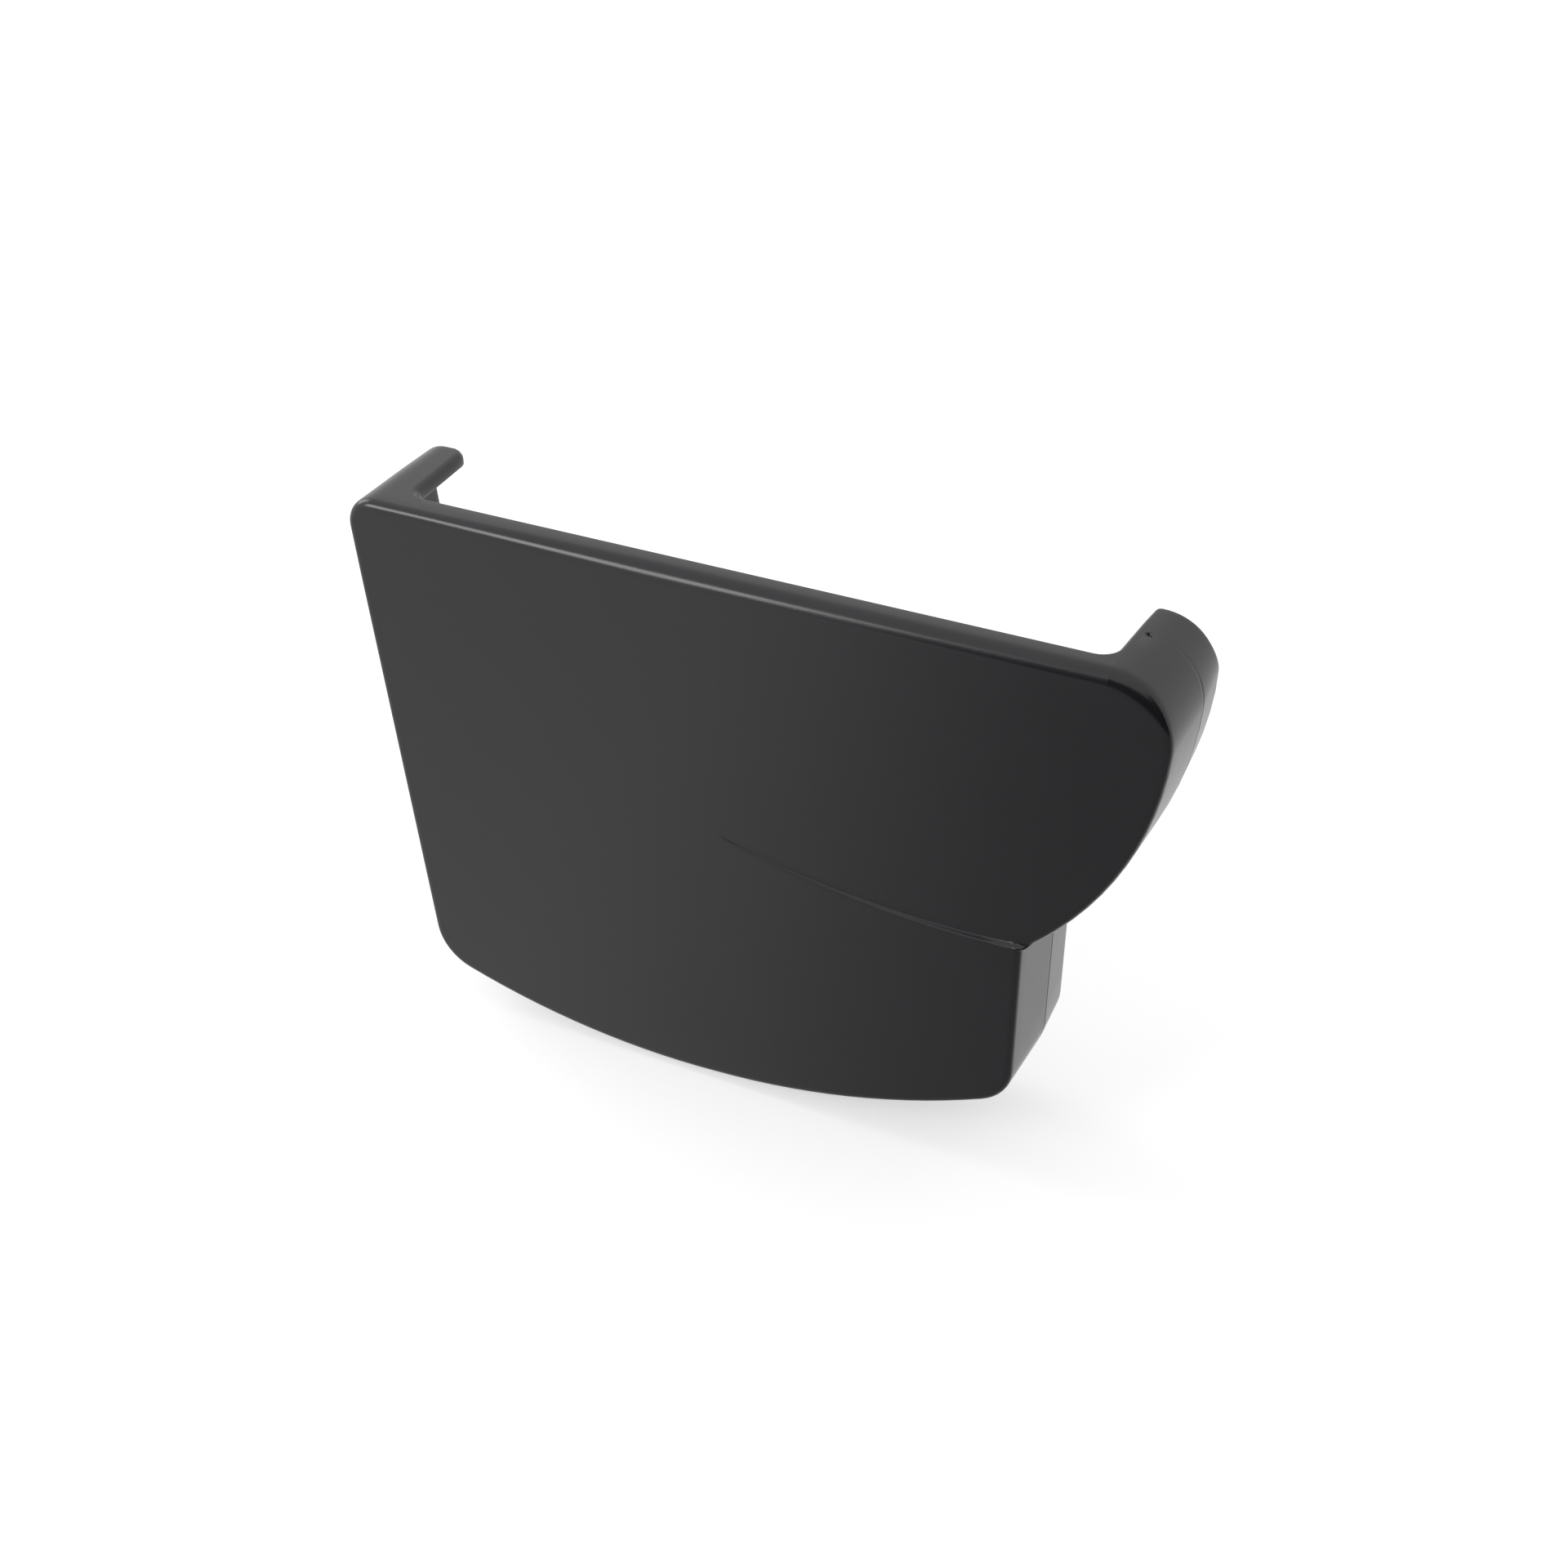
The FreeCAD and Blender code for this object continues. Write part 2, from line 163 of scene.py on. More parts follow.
# %% [markdown]
# The measured solid has the right sizes, but a moulding shows finer things too: a crease that
# catches the light as a thin line, the groove where the two halves of the mould met, the small
# mark of an ejector pin. They belong to the surface, so the moulding is built here again as one
# clean mesh from the same sizes, in millimetres. A script could also bevel a copy of the solid,
# but its loose triangles would show in the soft reflections, while rows of points that follow the
# drawing give even shading.

# %% Sizes of the moulding, in millimetres
# depths behind the outer face: the plate's inner side, where y is 0, the parting line, the mouth
PLATE, PARTING, DEPTH = 3.0, 15.5, 26.6
PARTING_Y, MOUTH_Y = PARTING - PLATE, DEPTH - PLATE
# the outline at the parting line, seen from the side
HEIGHT, WALL_X = 115.4, 139.3
BULGE_REACH, BULGE_RADIUS, BULGE_DROP = 22.3, 69.2, 10.0
FRONT_X = WALL_X + BULGE_REACH
BELLY_RADIUS, BELLY_LOW_X = 151.6, 65.1
# radii of the corners; the front top corner gets tighter towards the mouth
BACK_TOP, BACK_LOW, FRONT_LOW = 6.2, 11.5, 10.6
FRONT_TOP, FRONT_TOP_TAPER = 11.8, 3.0
# the back wall leans, and all walls lean inwards on both sides of the parting line
LEAN = math.radians(5.8)
FRONT_DRAFT, REAR_DRAFT = math.radians(3.0), math.radians(2.0)


def draft_inset(y):
    """How far the skirt at y lies inside its outline at the parting line."""
    if y < PARTING_Y:
        return math.tan(FRONT_DRAFT) * (PARTING_Y - y)
    return math.tan(REAR_DRAFT) * (y - PARTING_Y)


insets = [round(draft_inset(y), 2) for y in (-PLATE, PARTING_Y, MOUTH_Y)]
print("inset at face, parting line and mouth:", insets)

# %% [markdown]
# Seen from the side, the cap's outline is a chain of straight lines and arcs: top corner and
# leaning back wall, low corner, curved belly, low front corner, front wall, the bulge and its top
# corner. It could be a curve object with a bevel, but then Blender picks the points. Small helpers
# give chosen points instead: on a line, on an arc, and on a top corner that runs on into the flat
# rim up to a given x.

# %% Lines, arcs and corners
def between(first, last, part):
    return first + (last - first) * part


def spread(count, first=0.0, last=1.0):
    """Evenly spaced values from first to last."""
    return [first + (last - first) * i / (count - 1) for i in range(count)]


def turn(centre, radius, start, end, parts):
    """Points on an arc."""
    angles = [between(start, end, part) for part in parts]
    return [(centre[0] + radius * math.cos(a), centre[1] + radius * math.sin(a)) for a in angles]


def straight(first, last, parts):
    """Points on a straight line."""
    return [(between(first[0], last[0], f), between(first[1], last[1], f)) for f in parts]


def corner_and_flat(centre, radius, low_angle, end_x, parts):
    """Points from the low end of a top corner, over its arc and along the flat top, to end_x."""
    upright = math.pi / 2
    side = 1 if end_x > centre[0] else -1
    if (side > 0) == (low_angle > upright):
        arc_end, flat = upright, abs(end_x - centre[0])
    else:
        arc_end, flat = math.acos(max(-1.0, min(1.0, (end_x - centre[0]) / radius))), 0.0
    length = radius * abs(arc_end - low_angle)
    points = []
    for part in parts:
        along = part * (length + flat)
        if along <= length:
            points += turn(centre, radius, low_angle, arc_end, [along / length])
        else:
            points.append((centre[0] + side * (along - length), centre[1] + radius))
    return points


print("halfway round a corner of 2 mm:", turn((0.0, 0.0), 2.0, 0.0, math.pi / 2, [0.5]))

# %% [markdown]
# On the real outline each arc runs smoothly into its neighbours, because a cutter followed it in
# the mould. The centres could be typed in, but they would be wrong as soon as a size changes. So
# they are worked out from the tangency. The centres of the low corners stay the same at every
# depth, because an inset makes a corner's radius smaller and leaves its centre in place.

# %% Centres of the arcs
FULL_TURN = 2 * math.pi
INTO, DOWN = (math.cos(LEAN), math.sin(LEAN)), (math.sin(LEAN), -math.cos(LEAN))
BULGE_C = (FRONT_X - BULGE_RADIUS, -BULGE_DROP)
BELLY_C = (BELLY_LOW_X, BELLY_RADIUS - HEIGHT)


def direction(centre, point):
    return math.atan2(point[1] - centre[1], point[0] - centre[0])


def from_back_wall(gap, run):
    """The point a gap inside the back wall's line and a run down along it."""
    return (INTO[0] * gap + DOWN[0] * run, INTO[1] * gap + DOWN[1] * run)


def low_corner_centres():
    """The low corners touch their wall and, from inside, the belly."""
    off = (BELLY_C[0] - INTO[0] * BACK_LOW, BELLY_C[1] - INTO[1] * BACK_LOW)
    run = off[0] * DOWN[0] + off[1] * DOWN[1]
    run += math.sqrt((BELLY_RADIUS - BACK_LOW) ** 2 - off[0] ** 2 - off[1] ** 2 + run ** 2)
    reach = WALL_X - FRONT_LOW - BELLY_C[0]
    front_z = BELLY_C[1] - math.sqrt((BELLY_RADIUS - FRONT_LOW) ** 2 - reach ** 2)
    return from_back_wall(BACK_LOW, run), (WALL_X - FRONT_LOW, front_z)


def top_corner_centres(inset, top, front_top):
    """The top corners touch the flat top, the leaning wall at the back and the bulge in front."""
    run = (top + BACK_TOP - inset + BACK_TOP * INTO[1]) / math.cos(LEAN)
    rise = -top - front_top - BULGE_C[1]
    front_x = BULGE_C[0] + math.sqrt((BULGE_RADIUS - inset - front_top) ** 2 - rise ** 2)
    return from_back_wall(BACK_TOP, run), (front_x, -top - front_top)


def step_point(inset):
    """Where the front wall meets the bulge."""
    x = WALL_X - inset
    return (x, BULGE_C[1] - math.sqrt((BULGE_RADIUS - inset) ** 2 - (x - BULGE_C[0]) ** 2))


BACK_LOW_C, FRONT_LOW_C = low_corner_centres()
WALL_ANGLE = math.pi + LEAN
BACK_END = direction(BELLY_C, BACK_LOW_C) % FULL_TURN
FRONT_END = direction(BELLY_C, FRONT_LOW_C) % FULL_TURN
print("centres of the low corners:", [[round(v, 2) for v in c] for c in (BACK_LOW_C, FRONT_LOW_C)])

# %% [markdown]
# A section is the outline at one depth. A loft through profile curves could join the sections,
# but it spaces its points anew on each. Here all sections have the same number of points in the
# same order. They are joined with plain quads, and each column of quads stays on its own arc. The
# columns lie closer where the front wall steps out into the bulge.

# %% One section of the outline
COLUMNS = {
    "back_corner": spread(15),
    "back_wall": spread(9),
    "back_low": spread(9),
    "belly": spread(29),
    "front_low": spread(9),
    "front_wall": [0, .2, .4, .6, .75, .86, .92, .955, .97, .98, .99, 1],
    "bulge": [0, .004, .008, .012, .017, .023, .03, .04, .055, .08, .12] + spread(12, 0.16),
    "front_corner": spread(17),
}


def section(y, inset, top, back_x, front_x):
    """Points round the cap at a depth y, from the flat top at back_x to the one at front_x.

    inset is the distance inside the outline at the parting line, top the drop of the flat top."""
    back_top, back_low, front_low = BACK_TOP - inset, BACK_LOW - inset, FRONT_LOW - inset
    front_top = FRONT_TOP + FRONT_TOP_TAPER * (PARTING_Y - y) / DEPTH - inset
    back_top_c, front_top_c = top_corner_centres(inset, top, front_top)
    high = (back_top_c[0] - INTO[0] * back_top, back_top_c[1] - INTO[1] * back_top)
    low = (BACK_LOW_C[0] - INTO[0] * back_low, BACK_LOW_C[1] - INTO[1] * back_low)
    step = step_point(inset)
    bulge_start, bulge_end = direction(BULGE_C, step), direction(BULGE_C, front_top_c)

    points = corner_and_flat(back_top_c, back_top, WALL_ANGLE, back_x, COLUMNS["back_corner"])[::-1]
    points += straight(high, low, COLUMNS["back_wall"])[1:]
    points += turn(BACK_LOW_C, back_low, WALL_ANGLE, BACK_END, COLUMNS["back_low"])[1:]
    points += turn(BELLY_C, BELLY_RADIUS - inset, BACK_END, FRONT_END, COLUMNS["belly"])[1:]
    points += turn(FRONT_LOW_C, front_low, FRONT_END, FULL_TURN, COLUMNS["front_low"])[1:]
    points += straight((step[0], FRONT_LOW_C[1]), step, COLUMNS["front_wall"])[1:]
    points += turn(BULGE_C, BULGE_RADIUS - inset, bulge_start, bulge_end, COLUMNS["bulge"])[1:]
    front = corner_and_flat(front_top_c, front_top, bulge_end, front_x, COLUMNS["front_corner"])
    return points + front[1:]


print("points on a section:", len(section(0.0, 0.0, 0.0, 12.0, 150.0)))

# %% [markdown]
# The skirt is hollow. Its outer walls turn at the parting line, where the two halves of the mould
# leave a fine groove, and the hollow tapers straight from the plate to the mouth. The Solidify
# modifier makes a wall of one thickness, but this one gets thinner towards the mouth. So both
# surfaces are given as insets from the same outline.

# %% Walls, outside and inside
TOP_WALL, WALL_AT_PLATE, WALL_AT_MOUTH = 2.5, 2.5, 2.2
FLOOR_ROUND = 0.8
GROOVE_DEPTH = 0.14
TOP_Z = {"outer": 0.0, "inner": -TOP_WALL}


def wall_inset(side, y):
    """How far the outer or inner surface lies inside the outline at the parting line."""
    if side == "outer":
        return draft_inset(y) + (GROOVE_DEPTH if y == PARTING_Y else 0.0)
    root = WALL_AT_PLATE + draft_inset(FLOOR_ROUND)
    mouth = WALL_AT_MOUTH + draft_inset(MOUTH_Y)
    return between(root, mouth, (y - FLOOR_ROUND) / (MOUTH_Y - FLOOR_ROUND))


print("depth of the groove:", round(wall_inset("outer", PARTING_Y) - draft_inset(PARTING_Y), 2))

# %% [markdown]
# At the top the two hooks grow out of a narrow rim and reach back over the gutter's edges. Each
# could have its own copy of the code, but they differ in a few sizes only. So a hook is a small
# record, and every function asks it for its sizes. The back hook's inner edge is rounded more than
# the rest, so the sheet leaves more room there for the lip, the rounding of the free edge.

# %% The two hooks
RIM_Y = 2.8
LIP_ROUND, INNER_ROUND = 0.8, 0.3

# x of the inner edge at the rim and at the mouth, the way to the cap's middle, and the roundings
Hook = namedtuple("Hook", "rim_x mouth_x way tip lip")
BACK_HOOK = Hook(rim_x=12.8, mouth_x=11.7, way=1, tip=2.7, lip=1.7)
FRONT_HOOK = Hook(rim_x=FRONT_X - 13.7, mouth_x=FRONT_X - 12.0, way=-1, tip=1.2, lip=LIP_ROUND)
TIP_START = MOUTH_Y - BACK_HOOK.tip


def hook_x(hook, y):
    """x of a hook's inner edge: straight from the rim to the mouth."""
    return between(hook.rim_x, hook.mouth_x, max(0.0, (y - RIM_Y) / (MOUTH_Y - RIM_Y)))


def lip_room(side, hook, lip, share):
    """The room that the sheet leaves for the lip, by the hook's own share of a wider lip."""
    if side == "inner":
        return lip
    return lip * (1 + (hook.lip / LIP_ROUND - 1) * share)


print("room for the lip along the back hook:", round(lip_room("outer", BACK_HOOK, LIP_ROUND, 1.0), 2))

# %% [markdown]
# A hook ends in a small rounded tip, and it meets the rim in a hollow arc, here called the blend.
# A Boolean could cut both out of the skirt, but it leaves long thin faces. So the columns next to
# a hook's inner edge end on its arcs one after the other. The angle on the arc picks the column,
# and from it follow the x at which the column lies and the y at which it ends.

# %% Columns that end on a hook's arcs
BLEND = 3.2
QUARTER = math.pi / 2
BLEND_ANGLES = spread(8, 0.0, QUARTER)
TIP_ANGLES = spread(5, 0.0, QUARTER)[:-1]


def tip_x(side, hook, angle, lip, y):
    """x at y of the column that ends on the hook's tip at an angle."""
    lip = lip_room(side, hook, lip, math.cos(angle))
    return hook_x(hook, y) - hook.way * (hook.tip - (hook.tip - lip) * math.cos(angle))


def tip_end(side, hook, angle, lip):
    """y where that column ends."""
    lip = lip_room(side, hook, lip, math.cos(angle))
    return MOUTH_Y - hook.tip + (hook.tip - lip) * math.sin(angle)


def blend_x(side, hook, angle, lip, y):
    """x at y of the column that ends on the blend at an angle."""
    lip = lip_room(side, hook, lip, math.sin(angle) ** 2)
    return hook_x(hook, y) - hook.way * (lip - (BLEND + lip) * (1 - math.sin(angle)))


def blend_end(side, hook, angle, lip):
    """y where that column ends."""
    lip = lip_room(side, hook, lip, math.sin(angle) ** 2)
    return RIM_Y + BLEND - (BLEND + lip) * math.cos(angle)


def tip_point(side, hook, angle, lip, part=1.0):
    """A point on a tip's column, from the start of the tips at part 0 to its end at part 1."""
    y = between(TIP_START, tip_end(side, hook, angle, lip), part)
    return (tip_x(side, hook, angle, lip, y), y, TOP_Z[side])


def blend_point(side, hook, angle, lip, part=1.0):
    """A point on a blend's column, from the rim's edge at part 0 to its end at part 1."""
    y = between(RIM_Y - lip, blend_end(side, hook, angle, lip), part)
    return (blend_x(side, hook, angle, lip, y), y, TOP_Z[side])


print("end of the back hook's tip:", [round(v, 2) for v in tip_point("outer", BACK_HOOK, 0.0, 0.0)])

# %% [markdown]
# Now whole rows of points. A closed row lies in front of the rim's edge and an open one behind
# it, from hook to hook. The free edge runs round mouth, hooks and rim. Someone at the screen would
# pick that edge loop and bevel it, but a script would first have to find it. So the free edge is
# worked out like the rows, and a value lip moves it inwards on the surface by the lip's width.

# %% Rows of the sheets
# the rim's columns, and the depths of the rows between the rim and the tips
RIM_STEPS = 26
RIM_MIDDLE = spread(RIM_STEPS + 1, FRONT_HOOK.rim_x - BLEND, BACK_HOOK.rim_x + BLEND)[1:-1]
GROOVE_YS = [PARTING_Y + gap for gap in (-0.6, -0.22, 0.0, 0.22, 0.6)]
HOOK_YS = [RIM_Y + BLEND, 9.0] + GROOVE_YS + [16.0, 18.5, TIP_START]


def wall_row(side, y, inset, cut=0.0):
    """The wall at one depth between the columns of the two tips."""
    ends = hook_x(BACK_HOOK, y) - BACK_HOOK.tip, hook_x(FRONT_HOOK, y) + FRONT_HOOK.tip
    return [(x, y, z) for x, z in section(y, inset + cut, cut - TOP_Z[side], *ends)]


def open_row(side, lip, y, inset, cut=0.0):
    """From the back hook's inner edge round the cap to the front hook's, cut in on a rounding."""
    z = TOP_Z[side] - cut
    row = [(tip_x(side, BACK_HOOK, angle, lip, y), y, z) for angle in TIP_ANGLES]
    row += wall_row(side, y, inset, cut)
    return row + [(tip_x(side, FRONT_HOOK, angle, lip, y), y, z) for angle in TIP_ANGLES[::-1]]


def closed_row(side, lip, y, inset, cut=0.0):
    """An open row that is closed along the rim."""
    rim = [blend_x(side, FRONT_HOOK, angle, lip, y) for angle in BLEND_ANGLES[-2::-1]]
    rim += RIM_MIDDLE
    rim += [blend_x(side, BACK_HOOK, angle, lip, y) for angle in BLEND_ANGLES[:-1]]
    return open_row(side, lip, y, inset, cut) + [(x, y, TOP_Z[side] - cut) for x in rim]


def free_edge(side, lip):
    """The free edge of the mouth, the hooks and the rim, moved inwards on the surface by lip."""
    mouth, rim, top = MOUTH_Y - lip, RIM_Y - lip, TOP_Z[side]
    tip_middle = (TIP_START + tip_end(side, FRONT_HOOK, 0.0, lip)) / 2
    line = [tip_point(side, BACK_HOOK, angle, lip) for angle in TIP_ANGLES]
    line += wall_row(side, mouth, wall_inset(side, mouth))
    line += [tip_point(side, FRONT_HOOK, angle, lip) for angle in TIP_ANGLES[::-1]]
    line += [(tip_x(side, FRONT_HOOK, 0.0, lip, y), y, top) for y in [tip_middle] + HOOK_YS[::-1]]
    line += [blend_point(side, FRONT_HOOK, angle, lip) for angle in BLEND_ANGLES[-2::-1]]
    line += [(x, rim, top) for x in RIM_MIDDLE]
    line += [blend_point(side, BACK_HOOK, angle, lip) for angle in BLEND_ANGLES[:-1]]
    return line + [(tip_x(side, BACK_HOOK, 0.0, lip, y), y, top) for y in HOOK_YS[:-1]]


print("points on a closed row:", len(closed_row("outer", 0.0, 0.0, 0.0)))
print("points on the free edge:", len(free_edge("outer", 0.0)))

# %% [markdown]
# The face isn't quite flat. Its lower front part stands out a little below a crease, which climbs
# from the step in the front wall to the middle of the face in a shallow curve. A free curve could
# follow it in the photograph, but an arc needs only its two ends and a radius, and it stays on
# the step when a size changes. The crease is narrow where it starts and widest at the front wall.

# %% Crease across the face
CREASE_R = 177.0
CREASE_FREE_X, CREASE_CLIMB = 58.8, 12.0
# its width where it starts, along most of its length and at the front wall, and the two stretches
# of x over which the width changes
CREASE_START, CREASE_MOST, CREASE_WALL = 0.15, 0.5, 0.9
WIDENS_FIRST, WIDENS_LAST = (85.0, 110.0), (130.5, 136.0)
# how far the low part stands out at the front wall
FACET_RISE = 1.1


def progress(value, first, last):
    """How far a value has come from first to last, from 0 to 1."""
    return max(0.0, min(1.0, (value - first) / (last - first)))


def crease_centre():
    """Centre of the crease's arc, from its free end and its end at the front wall."""
    step_x, step_z = step_point(draft_inset(-PLATE))
    wall_z = step_z + FACET_RISE / 2
    free, wall = Vector((CREASE_FREE_X, wall_z + CREASE_CLIMB)), Vector((step_x, wall_z))
    chord = wall - free
    square = Vector((-chord.y, chord.x)).normalized()
    return (wall + free) / 2 + square * math.sqrt(CREASE_R ** 2 - chord.length ** 2 / 4)


CREASE_C = crease_centre()


def crease_width(x):
    """Width of the step across the crease."""
    width = between(CREASE_START, CREASE_MOST, progress(x, *WIDENS_FIRST))
    return width + (CREASE_WALL - CREASE_MOST) * progress(x, *WIDENS_LAST)


print("centre of the crease's arc:", [round(v, 1) for v in CREASE_C])

# %% [markdown]
# Below the crease the face stands out more and more towards the front wall, by about a millimetre.
# The solid has a plain bend between two planes there. In the photograph the crease shows as a fine
# bright line, so here the height rises in a narrow, smooth step across it. A bump texture could
# draw that line too, but it couldn't make the low part stand out at the front wall.

# %% Height of the face
# x where the low part starts to stand out, and where it stops, short of the front wall's rounding
FACET_START, HIGHEST_X = 76.5, WALL_X - 2.8
# the middle of the step lies this far above the crease's arc
CREASE_SHIFT = 0.4


def eased(part):
    """Rises from 0 to 1 with no corner at either end."""
    part = progress(part, 0.0, 1.0)
    return part * part * (3 - 2 * part)


def face_height(x, z):
    """How far the low part of the face stands out."""
    ramp = FACET_RISE * max(0.0, min(x, HIGHEST_X) - FACET_START) / (WALL_X - FACET_START)
    beyond = (Vector((x, z)) - CREASE_C).length - CREASE_R + CREASE_SHIFT
    return ramp * eased(beyond / crease_width(x) + 0.5)


print("the face stands out at the low front corner by", round(face_height(136, -95), 2), "mm")

# %% [markdown]
# A rounding leads from the face into the skirt, wide along the top and tight elsewhere. The Bevel
# modifier has one width, or weights that jump from edge to edge, so the rounding is made of rows.
# It starts from the face's own height. So it is worked out for both radii, for the flat face and
# for a raised one. Each column then takes its share of the radii and each point its share of the
# height.

# %% Rounding of the face
TOP_FACE_ROUND, SIDE_FACE_ROUND = 2.8, 1.3
# the wide rounding fades out between these heights, and towards the back it is less wide
WIDE_FROM_Z, WIDE_TO_Z = -9.0, -1.0
WIDEST_X, LEAST_SHARE = 65.0, 0.3
# the first row lies on the flat, half a millimetre beyond the rounding
BEYOND = 0.5


def rounding_row(angle, radius, height, beyond):
    """A row of the rounding between a face at one height and the skirt."""
    centre_y = radius - PLATE - height
    y = centre_y - radius * math.cos(angle)
    cut = radius * (1 - math.sin(angle)) + beyond
    return closed_row("outer", LIP_ROUND, y, draft_inset(centre_y), cut)


def mixed(first, second, shares):
    """Points between two rows, each with its own share of the second."""
    return [tuple(between(a, b, f) for a, b in zip(p, q)) for p, q, f in zip(first, second, shares)]


def wide_shares():
    """Each column's share of the wide rounding."""
    edge = rounding_row(QUARTER, SIDE_FACE_ROUND, 0.0, 0.0)
    return [eased(progress(z, WIDE_FROM_Z, WIDE_TO_Z)) * max(LEAST_SHARE, progress(x, 0.0, WIDEST_X))
            for x, y, z in edge]


def face_rounding():
    """Rows from the face to the skirt, each point at its own height of the face."""
    shares = wide_shares()
    rows = []
    for angle, beyond in [(0.0, BEYOND)] + [(angle, 0.0) for angle in spread(9, 0.0, QUARTER)]:
        flat, raised = [mixed(rounding_row(angle, SIDE_FACE_ROUND, height, beyond),
                              rounding_row(angle, TOP_FACE_ROUND, height, beyond), shares)
                        for height in (0.0, FACET_RISE)]
        rows.append(mixed(flat, raised, [face_height(x, z) / FACET_RISE for x, y, z in flat]))
    # the first row lies on the face itself
    rows[0] = [(x, -PLATE - face_height(x, z), z) for x, y, z in rows[0]]
    return rows


face_rows = face_rounding()
print("rows in the face's rounding:", len(face_rows))

# %% [markdown]
# The rows become a mesh. The outside of the moulding is one sheet: the rounding and the ring in
# front of the rim's edge, the skirt behind it, a patch at each blend and the rounded tips. The
# Grid Fill tool could guess such patches, but here it is known which points belong together: two
# rows of equal length make a strip of quads.

# %% Outer sheet of quads
RING_Y = 0.4
cap = bmesh.new()


def add_rows(rows, closed):
    """Quads between rows of equal length."""
    grid = [[cap.verts.new((p[0] * MM, p[1] * MM, p[2] * MM)) for p in row] for row in rows]
    for first, second in zip(grid, grid[1:]):
        count = len(first)
        for i in range(count if closed else count - 1):
            k = (i + 1) % count
            cap.faces.new((first[i], first[k], second[k], second[i]))
    return grid


def tip_row(side, lip, part):
    """A row from tip to tip, between the start of the tips at part 0 and the mouth at part 1."""
    y = between(TIP_START, MOUTH_Y - lip, part)
    row = [tip_point(side, BACK_HOOK, angle, lip, part) for angle in TIP_ANGLES]
    row += wall_row(side, y, wall_inset(side, y))
    return row + [tip_point(side, FRONT_HOOK, angle, lip, part) for angle in TIP_ANGLES[::-1]]


def add_sheet(side, lip, start_rows, ring_ys):
    """One surface of the moulding. Its first row is given back."""
    ring = [closed_row(side, lip, y, wall_inset(side, y)) for y in ring_ys]
    grid = add_rows(start_rows + ring, closed=True)
    skirt_ys = spread(5, RIM_Y - lip, RIM_Y + BLEND) + HOOK_YS[1:]
    add_rows([open_row(side, lip, y, wall_inset(side, y)) for y in skirt_ys], closed=False)
    for hook in (BACK_HOOK, FRONT_HOOK):
        patch = [[blend_point(side, hook, angle, lip, part) for angle in BLEND_ANGLES] for part in spread(5)]
        add_rows(patch, closed=False)
    add_rows([tip_row(side, lip, part) for part in spread(3)], closed=False)
    return grid[0]


add_sheet("outer", LIP_ROUND, face_rows, [RING_Y, RIM_Y - LIP_ROUND])
print("quads on the outside:", len(cap.faces))

# %% [markdown]
# The face is the plate's outer side, a large smooth surface that shows every flaw of its mesh. An
# even grid could cover it, but it would have to be very fine to draw the crease. So the points are
# dense only where the height changes: rows close together across the crease, a line where the low
# part starts to stand out, and a wide grid elsewhere.

# %% Points on the face
# rows along the crease: between which places, how many steps, shares of its width, and beside it
CREASE_FIRST, CREASE_LAST, CREASE_STEPS = (66.0, -47.0), (138.0, -60.0), 91
ACROSS, BESIDE = spread(9, -0.5, 0.5), (1.2, 2.6)
# the grid, and where and by how much it keeps off the crease
GRID_COLUMNS, GRID_ROWS = 28, 20
GRID_X, GRID_Z, GRID_START = 6.0, 5.7, 3.0
KEEP_OFF_FROM_X, KEEP_OFF = 62.0, 5.0
# the line at FACET_START
LINE_TOP, LINE_GAP, LINE_COUNT = -56.0, 4.0, 14


def crease_points():
    """Rows along the crease: dense across the step and two more on each side."""
    first, last = direction(CREASE_C, CREASE_FIRST), direction(CREASE_C, CREASE_LAST)
    points = []
    for angle in spread(CREASE_STEPS, first, last):
        width = crease_width(CREASE_C.x + CREASE_R * math.cos(angle))
        offsets = [-gap for gap in BESIDE[::-1]] + [width * share for share in ACROSS] + list(BESIDE)
        for offset in offsets:
            points += turn(CREASE_C, CREASE_R - CREASE_SHIFT + offset, angle, angle, [0.0])
    return points


def grid_points():
    """A wide grid in staggered rows, which leaves out the crease."""
    points = []
    for i in range(GRID_COLUMNS):
        for k in range(GRID_ROWS):
            x = i * GRID_X + (GRID_START if k % 2 else 0.0)
            z = -GRID_START - k * GRID_Z
            near_crease = abs(math.dist((x, z), CREASE_C) - CREASE_R) < KEEP_OFF
            if x <= KEEP_OFF_FROM_X or not near_crease:
                points.append((x, z))
    return points


def facet_start_points():
    """A line of points where the low part starts to stand out."""
    return [(FACET_START, LINE_TOP - LINE_GAP * i) for i in range(LINE_COUNT)]


print("points on the crease and on the grid:", len(crease_points()), len(grid_points()))

# %% [markdown]
# Now the face is filled. One face with many corners would do in Blender, but it is drawn with long
# thin triangles, and they show. Blender's Delaunay triangulation joins the points inside the first
# row of the rounding with that row, so the triangles are even and no seam shows.

# %% Filling the face
def inside(point, loop, margin):
    """Whether a point of the face lies inside the loop and not too near it."""
    x, z = point
    hit = False
    for (x0, z0), (x1, z1) in zip(loop, loop[1:] + loop[:1]):
        if (z0 > z) != (z1 > z) and x < x0 + (z - z0) * (x1 - x0) / (z1 - z0):
            hit = not hit
        span = (x1 - x0) ** 2 + (z1 - z0) ** 2
        along = (x - x0) * (x1 - x0) + (z - z0) * (z1 - z0)
        part = progress(along, 0.0, span) if span else 0.0
        if math.hypot(between(x0, x1, part) - x, between(z0, z1, part) - z) < margin:
            return False
    return hit


